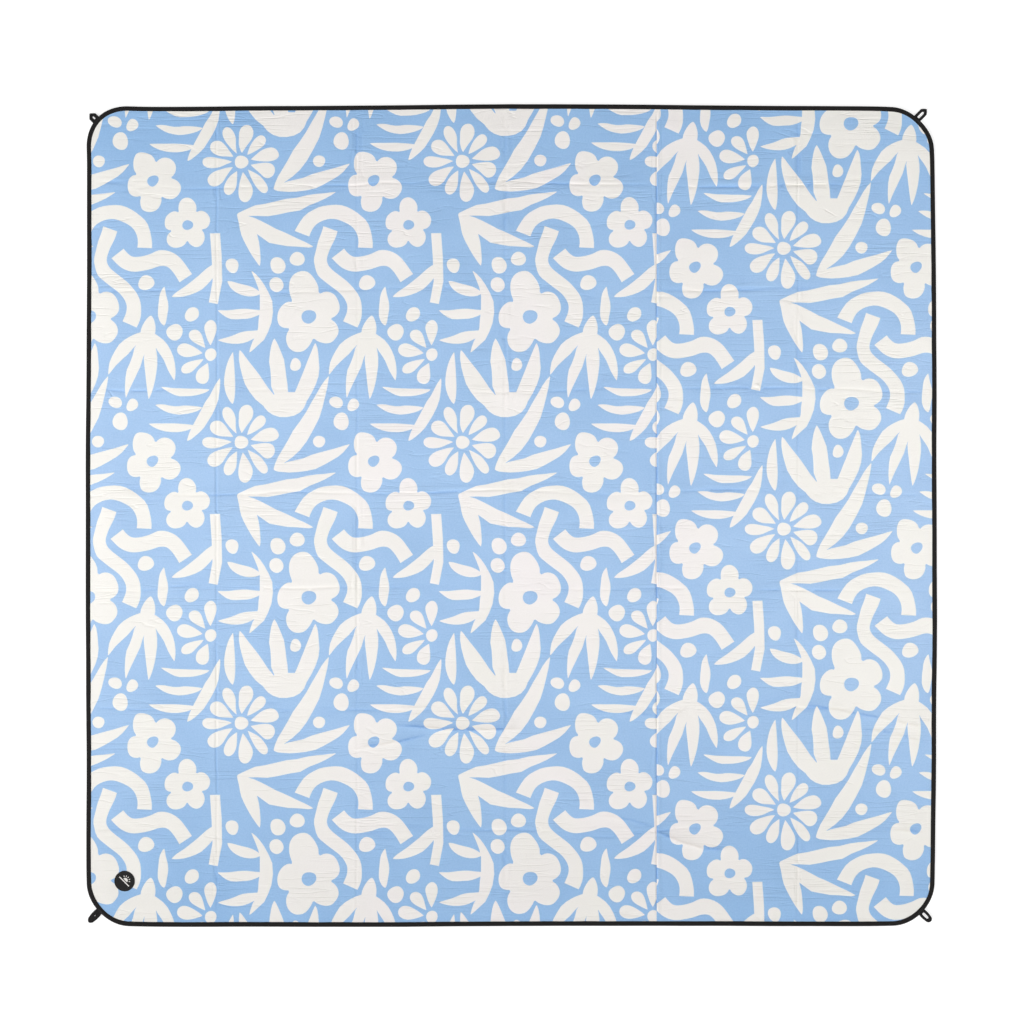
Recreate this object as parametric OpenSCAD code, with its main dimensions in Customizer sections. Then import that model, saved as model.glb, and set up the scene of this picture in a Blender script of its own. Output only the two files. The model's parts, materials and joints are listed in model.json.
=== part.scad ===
// Camp blanket: a two-panel printed cotton face over wadding and a waterproof backing,
// bound all round with tape, with four tape loops for ground pegs and a round badge.
// The origin is on the ground under the middle of the blanket. +X is its width, +Y its
// depth and +Z up. The blanket lies flat, face up, and is cut along its five fold lines.

/* [Sheet] */
// Overall width, left to right
sheet_w = 2000; // [1900:10:2200]
// Overall depth, front to back
sheet_d = 1930; // [1500:10:2200]
// Radius of the four rounded corners
corner_r = 100; // [60:5:140]

/* [Layers] */
// Thickness of the printed cotton face
face_t = 0.5; // [0.3:0.1:1]
// Thickness of the wadding between face and backing
wadding_t = 3; // [2:0.5:8]
// Thickness of the coated waterproof backing
backing_t = 0.5; // [0.3:0.1:1]

/* [Binding] */
// Width of the binding seen from above
binding_w = 11; // [8:0.5:20]
// Thickness of the binding tape
tape_t = 0.6; // [0.4:0.1:1]
// Room between the edge of the layers and the fold of the tape
tape_room = 0.4; // [0.2:0.1:1]

/* [Folds] */
// Place of the outer left fold
fold_1_x = -692; // [-760:1:-620]
// Place of the inner left fold
fold_2_x = -362; // [-400:1:-320]
// Place of the middle fold
fold_3_x = -14; // [-60:1:60]
// Place of the inner right fold, which is also the seam between the two panels
fold_4_x = 343; // [300:1:400]
// Place of the outer right fold
fold_5_x = 674; // [620:1:760]
// Room between two strips at a fold
fold_room = 0.4; // [0.3:0.1:1]
// Width of cloth turned under on each side of the panel seam
seam_turn = 10; // [6:1:15]

/* [Peg loops] */
// Length of a loop beyond the binding, to its tip
loop_l = 28; // [22:1:45]
// Width over both legs of a loop
loop_w = 17.6; // [15:0.1:26]
// Width of the slot between the legs
loop_slot_w = 6.6; // [6:0.1:12]
// Thickness of the loop tape
loop_t = 1.2; // [0.8:0.1:2]
// Room between the binding and the root of a loop
loop_room = 1; // [0.8:0.1:2]

/* [Badge] */
// Diameter of the round badge
badge_d = 48; // [30:1:70]
// Thickness of the badge
badge_t = 0.8; // [0.5:0.1:2]
// Height of the rim and the mark over the badge
badge_relief = 0.3; // [0.2:0.1:1]
// Distance from the left edge to the middle of the badge
badge_from_left = 92; // [60:1:150]
// Distance from the front edge to the middle of the badge
badge_from_front = 105; // [60:1:150]
// Turn of the mark on the badge, which faces the middle of the blanket
badge_turn = -45; // [-90:5:90]

/* [Hidden] */
$fn = 96;
// Heights of the layers, from the ground up: tape, backing, wadding, face, tape
backing_z = tape_t;
wadding_z = backing_z + backing_t;
face_z = wadding_z + wadding_t;
top_z = face_z + face_t;
edge_t = top_z + tape_t;
// Edges of the six strips, from left to right
strip_x = [-sheet_w, fold_1_x, fold_2_x, fold_3_x, fold_4_x, fold_5_x, sheet_w];
// The two strips that meet at the panel seam
seam_left = 4;
seam_right = 5;
badge_rim_w = 2.2;
mark_line_w = 2.4;
cut = 1;

print_blue = "#9fc3ea";
wadding_white = "#f2f1ec";
backing_grey = "#2e3033";
tape_black = "#1d1b1c";
badge_black = "#161516";
mark_white = "#ece9e4";

// The blanket's outline, drawn in from its edge by inset
module outline(inset) {
    square([sheet_w - 2 * inset, sheet_d - 2 * corner_r], center = true);
    square([sheet_w - 2 * corner_r, sheet_d - 2 * inset], center = true);
    for (sx = [-1, 1], sy = [-1, 1])
        translate([sx * (sheet_w / 2 - corner_r), sy * (sheet_d / 2 - corner_r)])
            circle(r = corner_r - inset);
}

// The ground between two fold lines, and only its front or back half when side is -1 or 1
module strip_area(i, side = 0) {
    left = strip_x[i - 1] + fold_room / 2;
    width = strip_x[i] - strip_x[i - 1] - fold_room;
    front = side > 0 ? 0 : -sheet_d;
    depth = side == 0 ? 2 * sheet_d : sheet_d;
    translate([left, front]) square([width, depth]);
}

// One strip of a layer that reaches into the slot of the binding
module layer(i, z, t) {
    translate([0, 0, z]) linear_extrude(t) intersection() {
        outline(tape_t + tape_room);
        strip_area(i);
    }
}

// The cloth turned under along the panel seam, as a strip's own share
module turned_seam(i) {
    left = i == seam_left ? fold_4_x - seam_turn : fold_4_x + fold_room / 2;
    translate([left, -sheet_d / 2 + binding_w, face_z - face_t])
        cube([seam_turn - fold_room / 2, sheet_d - 2 * binding_w, face_t]);
}

module face(i) {
    color(print_blue) {
        layer(i, face_z, face_t);
        if (i == seam_left || i == seam_right) turned_seam(i);
    }
}

module wadding(i) {
    color(wadding_white) difference() {
        layer(i, wadding_z, wadding_t);
        if (i == seam_left || i == seam_right) turned_seam(i);
    }
}

module backing(i) {
    color(backing_grey) layer(i, backing_z, backing_t);
}

// Tape folded round the edge of one strip: the C-shaped ends have side 0, and the
// straight runs of the middle strips have side -1 at the front and 1 at the back
module binding(i, side = 0) {
    color(tape_black) difference() {
        linear_extrude(edge_t) intersection() {
            outline(0);
            strip_area(i, side);
        }
        translate([0, 0, -cut]) linear_extrude(edge_t + 2 * cut) outline(binding_w);
        translate([0, 0, backing_z]) linear_extrude(top_z - backing_z) outline(tape_t);
    }
}

// Tape folded into a flat loop with a mitred tip, pointing out of a corner at 45 degrees
module peg_loop(sx, sy) {
    half = loop_w / 2;
    slot = loop_slot_w / 2;
    leg_w = half - slot;
    shoulder = loop_l - loop_room - half;
    slot_shoulder = shoulder + half - slot - leg_w * sqrt(2);
    translate([sx * (sheet_w / 2 - corner_r), sy * (sheet_d / 2 - corner_r), (edge_t - loop_t) / 2])
        rotate([0, 0, atan2(sy, sx)])
            translate([corner_r + loop_room, 0, 0])
                color(tape_black) linear_extrude(loop_t) difference() {
                    polygon([
                        [0, -half], [shoulder, -half], [shoulder + half, 0],
                        [shoulder, half], [0, half]
                    ]);
                    polygon([
                        [-cut, -slot], [slot_shoulder, -slot], [slot_shoulder + slot, 0],
                        [slot_shoulder, slot], [-cut, slot]
                    ]);
                }
}

module at_badge(z) {
    translate([badge_from_left - sheet_w / 2, badge_from_front - sheet_d / 2, z]) children();
}

module badge_patch() {
    color(badge_black) at_badge(top_z) {
        cylinder(d = badge_d, h = badge_t);
        translate([0, 0, badge_t]) difference() {
            cylinder(d = badge_d, h = badge_relief);
            translate([0, 0, -cut]) cylinder(d = badge_d - 2 * badge_rim_w, h = badge_relief + 2 * cut);
        }
    }
}

// A plain half sun with short rays over a straight horizon line, standing for no one's mark
module badge_mark() {
    sun_r = badge_d / 8;
    line_l = badge_d * 0.66;
    ray_l = badge_d / 14;
    color(mark_white) at_badge(top_z + badge_t) rotate([0, 0, badge_turn]) linear_extrude(badge_relief) {
        translate([0, mark_line_w]) intersection() {
            circle(r = sun_r);
            translate([-sun_r, 0]) square([2 * sun_r, sun_r]);
        }
        for (ray = [30 : 30 : 150])
            translate([0, mark_line_w]) rotate([0, 0, ray])
                translate([sun_r + mark_line_w, -mark_line_w / 3]) square([ray_l, mark_line_w / 1.5]);
        translate([-line_l / 2, -mark_line_w]) square([line_l, mark_line_w]);
    }
}

face(1);  // face_main_1
face(2);  // face_main_2
face(3);  // face_main_3
face(4);  // face_main_4
face(5);  // face_side_5
face(6);  // face_side_6
wadding(1);  // wadding_1
wadding(2);  // wadding_2
wadding(3);  // wadding_3
wadding(4);  // wadding_4
wadding(5);  // wadding_5
wadding(6);  // wadding_6
backing(1);  // backing_1
backing(2);  // backing_2
backing(3);  // backing_3
backing(4);  // backing_4
backing(5);  // backing_5
backing(6);  // backing_6
binding(1);  // binding_left
binding(6);  // binding_right
binding(2, -1);  // binding_front_2
binding(3, -1);  // binding_front_3
binding(4, -1);  // binding_front_4
binding(5, -1);  // binding_front_5
binding(2, 1);  // binding_back_2
binding(3, 1);  // binding_back_3
binding(4, 1);  // binding_back_4
binding(5, 1);  // binding_back_5
peg_loop(-1, -1);  // peg_loop_front_left
peg_loop(1, -1);  // peg_loop_front_right
peg_loop(-1, 1);  // peg_loop_back_left
peg_loop(1, 1);  // peg_loop_back_right
badge_patch();
badge_mark();
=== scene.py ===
"""Camp blanket: the visible pieces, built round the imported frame. Shapes are worked out in millimetres."""
import itertools
import json
import math

import bpy
import numpy as np
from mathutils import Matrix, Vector
from mathutils.geometry import delaunay_2d_cdt


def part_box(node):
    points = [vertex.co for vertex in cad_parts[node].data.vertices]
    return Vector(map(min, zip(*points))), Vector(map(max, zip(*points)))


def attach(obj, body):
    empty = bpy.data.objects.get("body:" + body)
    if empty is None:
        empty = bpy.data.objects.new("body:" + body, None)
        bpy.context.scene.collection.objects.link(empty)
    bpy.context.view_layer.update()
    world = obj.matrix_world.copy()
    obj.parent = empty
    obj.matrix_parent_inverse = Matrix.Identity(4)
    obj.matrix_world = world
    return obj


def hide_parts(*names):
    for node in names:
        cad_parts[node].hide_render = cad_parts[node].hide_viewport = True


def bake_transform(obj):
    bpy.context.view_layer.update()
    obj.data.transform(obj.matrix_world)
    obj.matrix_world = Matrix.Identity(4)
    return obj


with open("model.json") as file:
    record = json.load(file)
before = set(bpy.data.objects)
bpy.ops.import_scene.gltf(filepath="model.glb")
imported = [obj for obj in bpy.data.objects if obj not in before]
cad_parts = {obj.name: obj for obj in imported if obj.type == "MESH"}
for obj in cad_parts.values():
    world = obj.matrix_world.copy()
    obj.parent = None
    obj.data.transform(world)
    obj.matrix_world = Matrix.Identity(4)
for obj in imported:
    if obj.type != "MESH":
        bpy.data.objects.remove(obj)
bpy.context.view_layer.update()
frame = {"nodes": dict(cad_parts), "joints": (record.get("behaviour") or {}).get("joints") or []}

scene = bpy.context.scene
MM = 0.001
TURN = 2 * math.pi


# ---- places, from the frame

def corners(node):
    """A CAD node's lowest and highest corners in millimetres"""
    return [np.array(corner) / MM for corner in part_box(node)]


JOINTS = {joint["name"]: joint for joint in frame["joints"]}
FOLDS = range(1, 6)
FOLD_X = {k: JOINTS[f"fold_{k}"]["pos_m"][0] / MM for k in FOLDS}
# The cloth turns over this far to each side of a fold line, more where the fold goes round more layers
FOLD_HALF = {k: 5 + 0.75 * JOINTS[f"fold_{k}"]["pos_m"][2] / MM for k in FOLDS}
HALF_W, HALF_L, TAPE_TOP = corners("binding_right")[1]
SEAM_X = FOLD_X[4]
BACKING_Z = corners("backing_3")[0][2]
WADDING_Z = corners("wadding_3")[0][2]
FACE_Z, FACE_TOP = (corner[2] for corner in corners("face_main_3"))
TAPE_T = TAPE_TOP - FACE_TOP
BADGE_LO, BADGE_HI = corners("badge_patch")
BADGE_X, BADGE_Y = (BADGE_LO + BADGE_HI)[:2] / 2
BADGE_R = (BADGE_HI - BADGE_LO)[0] / 2

# Rounded corner of the blanket, the tape's width on the face, and how far the cloth stops inside the edge
CORNER_R = 100.0
TAPE_W = 11.0
CLOTH_INSET = 2.0
# Section k crosses fold k and runs from cut k - 1 to cut k, at the middles of the strips
CUTS = [-HALF_W] + [(FOLD_X[k] + FOLD_X[k + 1]) / 2 for k in range(1, 5)] + [HALF_W]

# The lowest that a crease goes, and the creases from side to side by their y
CREASE_DEPTH = -2.2
CROSS_CREASES = (776, 531, 295, 55, -175, -458, -740)
RIPPLES = (  # from, to, bend, height
    ((-371, -549), (-205, -517), -3, 1.5),
    ((-262, -494), (22, -503), -5, 2.6),
    ((205, -706), (335, -732), 4, 0.7),
    ((343, -742), (502, -785), -11, 2.5),
    ((681, -446), (987, -505), 6, 1.2),
    ((829, -503), (977, -533), 3, 1.0),
    ((893, -738), (988, -744), -2, 1.4),
    ((190, -462), (338, -470), 2, 1.1),
)
# Where rows of points lie before and behind a ripple's line
RIPPLE_ROWS = (-9, -5, -2.2, 0, 2.2, 4.8, 9, 15, 22)
# How far each side stands out beyond a straight one at places along it, as shares of its half length, and
# how far each corner is drawn in
SWAY_AT = (-0.85, -0.5, -0.25, 0.0, 0.25, 0.5, 0.85)
SWAY = {
    "left": (-1.7, -2.0, 0.0, 0.2, -0.9, -2.9, -3.4),
    "right": (-2.0, 0.8, 2.5, 1.3, 1.4, 0.8, -3.0),
    "front": (2.8, 3.0, 2.9, 0.6, 0.8, 0.3, 1.7),
    "back": (-4.7, -2.4, -0.5, 2.3, 1.1, -0.8, -3.2),
}
CORNERS = ((-1, -1), (1, -1), (-1, 1), (1, 1))
NIPS = (3.5, 2.5, -4.0, 5.6)


# ---- how the cloth lies

def noise(x, y, seed):
    """Smooth noise from -1 to 1 that changes over about one unit"""
    i, j = np.floor(x).astype(np.int64), np.floor(y).astype(np.int64)
    u, v = x - i, y - j
    u, v = u ** 3 * (u * (6 * u - 15) + 10), v ** 3 * (v * (6 * v - 15) + 10)

    def corner(di, dj):
        h = ((i + di) * 73856093 ^ (j + dj) * 19349663 ^ (seed + 7) * 83492791) & 0x7FFFFFFF
        h = (h ^ h >> 13) * 1274126177 & 0x7FFFFFFF
        h = (h ^ h >> 15) * 668265263 & 0x7FFFFFFF
        return h / 0x3FFFFFFF - 1

    low = corner(0, 0) * (1 - u) + corner(1, 0) * u
    high = corner(0, 1) * (1 - u) + corner(1, 1) * u
    return low * (1 - v) + high * v


def ramp(value, start, end):
    """0 before start, 1 after end, smooth between"""
    t = np.clip((value - start) / (end - start), 0, 1)
    return t * t * (3 - 2 * t)


def bell(distance, reach):
    return np.exp(-(distance / reach) ** 2)


def edge_gap(x, y):
    """How far inside the blanket's edge a point is"""
    qx, qy = np.abs(x) - HALF_W + CORNER_R, np.abs(y) - HALF_L + CORNER_R
    outside = np.hypot(np.maximum(qx, 0), np.maximum(qy, 0)) + np.minimum(np.maximum(qx, qy), 0)
    return CORNER_R - outside


def corner_middle(sx, sy):
    """The middle of a rounded corner's arc"""
    return np.array([sx * (HALF_W - CORNER_R), sy * (HALF_L - CORNER_R)])


def outward(sx, sy):
    """The way that a corner points"""
    return np.array([sx, sy]) * math.sqrt(0.5)


def freedom(x, y):
    """0 where tape or badge holds the cloth flat, 1 where it is free to lift"""
    badge = np.hypot(x - BADGE_X, y - BADGE_Y)
    return ramp(edge_gap(x, y), TAPE_W + 1, 60) * ramp(badge, BADGE_R + 1, BADGE_R + 45)


def puff(x, y):
    """How far the padding lifts the cloth above its flat level"""
    mounds = 1.2 + 0.8 * noise(x / 230, y / 150, 1) + 0.35 * noise(x / 80, y / 48, 2)
    pucker = 0.15 + 0.15 * noise(x / 26, y / 26, 3)
    free = freedom(x, y)
    pucker = pucker * ramp(np.hypot(x - BADGE_X, y - BADGE_Y), BADGE_R + 1, BADGE_R + 8)
    return free * mounds + (1 - free) * pucker


def crack(x, y, seed):
    """1 along thin wandering lines, falling to 0 between them"""
    return (1 - np.abs(noise(x, y, seed))) ** 4


def ripple_place(x, y, start, end, bend):
    """How far along a ripple's line a point is, how far behind it, and the line's length"""
    a, d = np.array(start, float), np.subtract(end, start).astype(float)
    length = math.hypot(*d)
    along = ((x - a[0]) * d[0] + (y - a[1]) * d[1]) / length
    behind = ((y - a[1]) * d[0] - (x - a[0]) * d[1]) / length
    t = np.clip(along / length, 0, 1)
    return along, behind - 4 * bend * t * (1 - t) - 1.5 * noise(along / 40, along * 0, 5), length


def ripple(x, y, start, end, bend, height):
    """Slack cloth in a ridge, steep before it and long behind it. Its height, and the painted shade along its
    crease and on its far slope
    """
    along, behind, length = ripple_place(x, y, start, end, bend)
    fade = ramp(along, -25, 45) * ramp(length - along, -25, 45)
    after, before = np.maximum(behind, 0), np.minimum(behind, 0)
    crest = np.where(behind > 0, 0.65 * np.exp(-after / 28) + 0.35 * np.exp(-after / 3.5), np.exp(before / 5))
    # Painted shade: a dark line at the crease, and for a tall ripple a darker band on the slope behind it
    line = 1.1 * min(height / 1.4, 1) * bell(behind - 0.7, 2.6)
    slope = 0.28 * max(height - 1.2, 0) * bell(after, 12) * ramp(behind, -2, 2)
    return fade * height * crest, fade * (line + slope)


def ripple_rows(x0, x1):
    """Points in rows along the ripples between x0 and x1, close enough to carry their sharp ridges"""
    rows = []
    for start, end, bend, _ in RIPPLES:
        a, d = np.array(start, float), np.subtract(end, start).astype(float)
        length = math.hypot(*d)
        t = np.linspace(-0.08, 1.08, int(length / 8))
        line = a + t[:, None] * d
        aside = np.array([-d[1], d[0]]) / length
        sag = -ripple_place(*line.T, start, end, bend)[1]
        rows += [line + (sag + offset)[:, None] * aside for offset in RIPPLE_ROWS]
    points = np.vstack(rows)
    return points[(points[:, 0] > x0 + 3) & (points[:, 0] < x1 - 3)]


def crinkle(x, y):
    """Folds, creases across them, crinkles, ripples and the seam. Their height, and the painted shade in them
    """
    # shade collects painted shade: darker colour in the folds, creases, crumples, ripples and the seam's
    # groove
    level, shade = np.zeros_like(x), np.zeros_like(x)
    for k in FOLDS:
        d = x - FOLD_X[k] - 1.5 * noise(y / 80, x * 0, 10 + k)
        strength = 0.85 + 0.45 * noise(y / 140, x * 0, 50 + k)
        level += strength * (0.5 * bell(d, 15) - 0.75 * bell(d, 2.6))
        shade += 0.35 * strength * bell(d, 2.2)
        crumple = bell(d, 20) * crack(x / 8, y / 55, 80 + k) * ramp(noise(y / 120, x * 0, 90 + k), -0.1, 0.5)
        level -= 0.9 * crumple
        shade += 0.35 * crumple
    for k, at in enumerate(CROSS_CREASES):
        d = y - at - 8 * noise(x / 240, y * 0, 20 + k) - 2 * noise(x / 60, y * 0, 30 + k)
        strength = 0.4 + 0.7 * noise(x / 170, y * 0, 40 + k)
        level += strength * (0.6 * bell(d - 9, 9) + 0.3 * bell(d + 12, 12) - 1.0 * bell(d, 2.8))
        slack = bell(d, 22) * crack(x / 120, y / 9, 100 + k) * ramp(noise(x / 130, y * 0, 110 + k), -0.4, 0.6)
        level -= 0.8 * slack
        shade += np.maximum(0.7 * strength, 0) * bell(d, 2.2) + 0.35 * slack
    for one in RIPPLES:
        height, dark = ripple(x, y, *one)
        level += height
        shade += dark
    free = ramp(edge_gap(x, y), TAPE_W + 1, 40)
    beside = x - SEAM_X
    turned_seam = 0.45 * ramp(beside, 0.4, 1.6) * (1 - ramp(beside, 7, 12)) - 1.1 * bell(beside, 1.5)
    shade += 0.9 * bell(beside, 1.6)
    loose = freedom(x, y)
    return np.maximum(loose * level, CREASE_DEPTH) + free * turned_seam, np.clip(loose * shade, 0, 1.5)


def bow(x, y):
    """The blanket isn't quite square: its sides stand out or in, and its corners differ"""
    u, v = x / HALF_W, y / HALF_L
    left, right = (np.interp(v, SWAY_AT, SWAY[side]) for side in ("left", "right"))
    front, back = (np.interp(u, SWAY_AT, SWAY[side]) for side in ("front", "back"))
    dx = u ** 6 * (np.where(u > 0, right, -left) + 0.5 * noise(y / 150, y * 0, 61))
    dy = v ** 6 * (np.where(v > 0, back, -front) + 0.5 * noise(x / 150, x * 0, 60))
    for (sx, sy), nip in zip(CORNERS, NIPS):
        away = np.hypot(x - sx * (HALF_W - 0.3 * CORNER_R), y - sy * (HALF_L - 0.3 * CORNER_R))
        dx = dx - sx * nip * bell(away, 75)
        dy = dy - sy * nip * bell(away, 75)
    return x + dx, y + dy


# ---- meshes

def add_object(name, data):
    made = bpy.data.objects.new(name, data)
    scene.collection.objects.link(made)
    return made


def make_piece(name, material, points, faces, rest=None, ink=None, shade=None):
    """A mesh object from points in millimetres. rest is where each point is in the flat cloth"""
    mesh = bpy.data.meshes.new(name)
    mesh.from_pydata((np.asarray(points) * MM).tolist(), [], faces)
    mesh.polygons.foreach_set("use_smooth", [True] * len(faces))
    mesh.set_sharp_from_angle(angle=math.radians(40))
    if rest is not None:
        attribute = mesh.attributes.new("rest", "FLOAT_VECTOR", "POINT")
        attribute.data.foreach_set("vector", (np.asarray(rest) * MM).astype(np.float32).ravel())
    for key, values, domain in (("print", ink, "FACE"), ("shade", shade, "POINT")):
        if values is not None:
            attribute = mesh.attributes.new(key, "FLOAT", domain)
            attribute.data.foreach_set("value", np.asarray(values, np.float32))
    mesh.materials.append(material)
    return add_object(name, mesh)


def both_sides(flat):
    """Where a slab's points are in the flat cloth: the top ones, then those below"""
    return np.column_stack([np.vstack([flat, flat]), np.zeros(2 * len(flat))])


def travelled(line):
    """How far along a line each of its points is"""
    return np.concatenate([[0], np.cumsum(np.linalg.norm(np.diff(line, axis=0), axis=1))])


def fold_with(piece):
    """Bakes the piece's transform into its mesh"""
    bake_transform(piece)


def graded(lo, hi, coarse, zones):
    """Stations from lo to hi, coarse apart, and finer in each zone (middle, half width, spacing)"""
    tick = 0.25
    fine = np.arange(lo, hi + tick, tick)
    step = np.full(len(fine), float(coarse))
    for middle, half, spacing in zones:
        step = np.where(np.abs(fine - middle) <= half, np.minimum(step, spacing), step)
    passed = np.concatenate([[0], np.cumsum(tick / step[:-1])])
    return np.interp(np.linspace(0, passed[-1], int(passed[-1]) + 1), passed, np.linspace(lo, hi, len(fine)))


def columns(x0, x1, coarse, fine_zones=()):
    zones = [(FOLD_X[k], FOLD_HALF[k] + 3, FOLD_HALF[k] / 7) for k in FOLDS]
    zones += [(x0, 2, 1.5), (x1, 2, 1.5), *fine_zones]
    return graded(x0, x1, coarse, zones)


def edge_runs(x0, x1, xs, ys):
    """The blanket's edge between two cuts, anticlockwise, as runs of (x, y, inward x, inward y)"""
    bend_x, bend_y = HALF_W - CORNER_R, HALF_L - CORNER_R

    def along_x(stations, y):
        return [(x, y, 0, -np.sign(y)) for x in stations]

    def along_y(side):
        return [(side * HALF_W, y, -side, 0) for y in ys[::side] if abs(y) < bend_y - 1]

    def corner(sx, sy, start):
        a = np.radians(start + np.linspace(0, 90, 25))
        c, s = np.cos(a), np.sin(a)
        return list(zip(sx * bend_x + CORNER_R * c, sy * bend_y + CORNER_R * s, -c, -s))

    side = int(x1 >= HALF_W) - int(x0 <= -HALF_W)
    if side:
        straight = [x for x in xs if side * x < bend_x - 1]
        runs = [along_x(straight[::side], -side * HALF_L) + corner(side, -side, 180 + 90 * side)
                + along_y(side)
                + corner(side, side, 90 - 90 * side) + along_x(straight[::-side], side * HALF_L)]
    else:
        runs = [along_x(xs[::-1], HALF_L), along_x(xs, -HALF_L)]
    return [np.array(run) for run in runs]


def cloth_ring(x0, x1, inset, xs, ys):
    """The outline of the cloth between two cuts, anticlockwise"""
    runs = [run[:, :2] + inset * run[:, 2:] for run in edge_runs(x0, x1, xs, ys)]
    inner = np.array([y for y in ys if abs(y) < HALF_L - inset - 1])
    ring = []
    for run in runs:
        at, down = run[-1, 0], run[-1, 1] > 0
        ring += [run, np.column_stack([np.full(len(inner), at), inner[::-1] if down else inner])]
    return np.vstack(ring)


def clear_of(points, others, gap):
    """The points that have none of the others nearby"""
    keep = np.ones(len(points), bool)
    for shift in (0, gap / 2):
        cells = [np.floor((p + shift) / gap).astype(np.int64) @ (1, 1 << 20) for p in (points, others)]
        keep &= ~np.isin(*cells)
    return points[keep]


def slab(triangles, n):
    """The faces of a slab: triangles on top, the same below on points n later, and walls at their rims"""
    directed = np.concatenate([triangles[:, [0, 1]], triangles[:, [1, 2]], triangles[:, [2, 0]]])
    rim = directed[~np.isin(directed @ (n, 1), directed @ (1, n))]
    walls = np.column_stack([rim[:, 0], rim[:, 0] + n, rim[:, 1] + n, rim[:, 1]])
    return triangles.tolist() + (triangles[:, ::-1] + n).tolist() + walls.tolist()


def tube(first, end, n):
    """The faces of a closed tube on the points from first to end, in rings of n"""
    faces = [(a + j, a + (j + 1) % n, a + n + (j + 1) % n, a + n + j)
             for a in range(first, end - n, n) for j in range(n)]
    return faces + [tuple(range(first + n - 1, first - 1, -1)), tuple(range(end - n, end))]


def filled(rings, grid, kept):
    """Triangles on the rings' and grid's points, where kept(x, y) is true at their middles"""
    points, edges = [], []
    for closed in rings:
        n = len(closed)
        edges += [(len(points) + i, len(points) + (i + 1) % n) for i in range(n)]
        points += closed.tolist()
    flat, _, triangles, *_ = delaunay_2d_cdt([Vector(p) for p in points + grid.tolist()], edges, [], 0, 0.01)
    flat, triangles = np.array(flat), np.array(triangles)
    triangles = triangles[kept(*flat[triangles].mean(1).T)]
    used, triangles = np.unique(triangles, return_inverse=True)
    return flat[used], triangles.reshape(-1, 3)


def layer(name, x0, x1, inset, spacing, heights, material, printed=None):
    """A closed layer of cloth between its top and bottom heights. printed is its rings of ink and eyes"""
    across, along = spacing
    fine_rows = [(y, 22, 0.32 * along) for y in CROSS_CREASES]
    xs = columns(x0, x1, across, [(SEAM_X, 11, 0.1 * across)] if SEAM_X in (x0, x1) else ())
    ys = graded(-HALF_L, HALF_L, along, fine_rows)
    grid = np.stack(np.meshgrid(xs[1:-1], ys, indexing="ij"), -1).reshape(-1, 2)
    near = []
    if printed:
        rows = ripple_rows(x0, x1)
        grid = np.vstack([clear_of(grid, rows, 3.5), rows])
        near = printed[0] + printed[1]
    grid = grid[edge_gap(*grid.T) > inset + 0.5]
    for closed in near:
        legs = np.linspace(closed, np.roll(closed, -1, axis=0), 6).reshape(-1, 2)
        box = np.all((grid > closed.min(0) - 4) & (grid < closed.max(0) + 4), axis=1)
        grid = np.vstack([grid[~box], clear_of(grid[box], legs, 2.4)])

    def on_cloth(x, y):
        return (edge_gap(x, y) > inset) & (x > x0) & (x < x1)

    flat, triangles = filled((cloth_ring(x0, x1, inset, xs, ys), *near), grid, on_cloth)
    faces = slab(triangles, len(flat))
    x, y = bow(*flat.T)
    points = np.vstack([np.column_stack([x, y, z]) for z in heights(*flat.T)])
    ink, shade = None, None
    if printed:
        middle = flat[triangles].mean(1).T
        inked = inside(printed[0], *middle) & ~inside(printed[1], *middle)
        ink = np.concatenate([inked, np.zeros(len(faces) - len(inked))])
        # The painted crease shade, on the top points only
        shade = np.concatenate([crinkle(*flat.T)[1], np.zeros(len(flat))])
    return make_piece(name, material, points, faces, both_sides(flat), ink, shade)


# ---- the print: cut-paper leaves and flowers

REPEAT_W, REPEAT_H = 520.0, 660.0
PRINT_GAP = 12.0
PRINT_CELL = 4.0
# Where the repeat starts on each panel: the panels were cut without matching it
PRINT_START = {"main": (-38.0, 110.0), "side": (197.0, -94.0)}


def stroke(line, half):
    """The outline of a line that is half wide on each side, as a closed ring"""
    along = np.gradient(line, axis=0)
    across = np.stack([-along[:, 1], along[:, 0]], 1) / np.linalg.norm(along, axis=1)[:, None]
    half = np.broadcast_to(half, len(line))[:, None]
    return np.vstack([line + across * half, (line - across * half)[::-1]])


def blade(root, tip, width, bend=0.0, skew=0.85, blunt=0.75):
    """A leaf or petal from its root to its tip, bowed sideways by bend times its length"""
    t = (1 - np.cos(np.linspace(0, math.pi, 15))) / 2
    root, reach = np.array(root, float), np.subtract(tip, root)
    line = root + t[:, None] * reach + (4 * t * (1 - t) * bend)[:, None] * np.array([-reach[1], reach[0]])
    return stroke(line, width / 2 * np.sin(math.pi * np.clip(t, 1e-4, 1 - 1e-4) ** skew) ** blunt)


def arc_band(r, width, start, end):
    """Part of a ring, a little wider at its ends"""
    t = np.radians(np.linspace(start, end, 21))
    line = np.stack([r * np.cos(t), r * np.sin(t)], 1)
    return stroke(line, width / 2 * (1 + 0.08 * np.linspace(-1, 1, len(t)) ** 2))


def disc(x, y, r, turn=0.0):
    """A hand-cut dot, a little out of round"""
    t = np.linspace(0, TURN, 24, endpoint=False)
    reach = r * (1 + 0.05 * np.cos(2 * t + turn) + 0.03 * np.cos(3 * t - turn))
    return np.stack([x + reach * np.cos(t), y + reach * np.sin(t)], 1)


def polar(r, angle):
    return r * math.cos(math.radians(angle)), r * math.sin(math.radians(angle))


def flower(r, longer=0.0):
    """Five round lobes, the top one longer, round an open eye"""
    t = np.linspace(0, TURN, 90, endpoint=False)
    a = t - math.pi / 2
    lobe = 0.55 + 0.45 * np.abs(np.cos(2.5 * a)) ** 0.62
    uneven = 1 + 0.05 * np.cos(2 * a + 1) + 0.05 * np.cos(3 * a)
    size = r * lobe * (1 + longer * np.clip(np.cos(a), 0, 1) ** 4) * uneven
    return [np.stack([size * np.cos(t), size * np.sin(t)], 1)], [disc(0, 0, 0.2 * r)]


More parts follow.
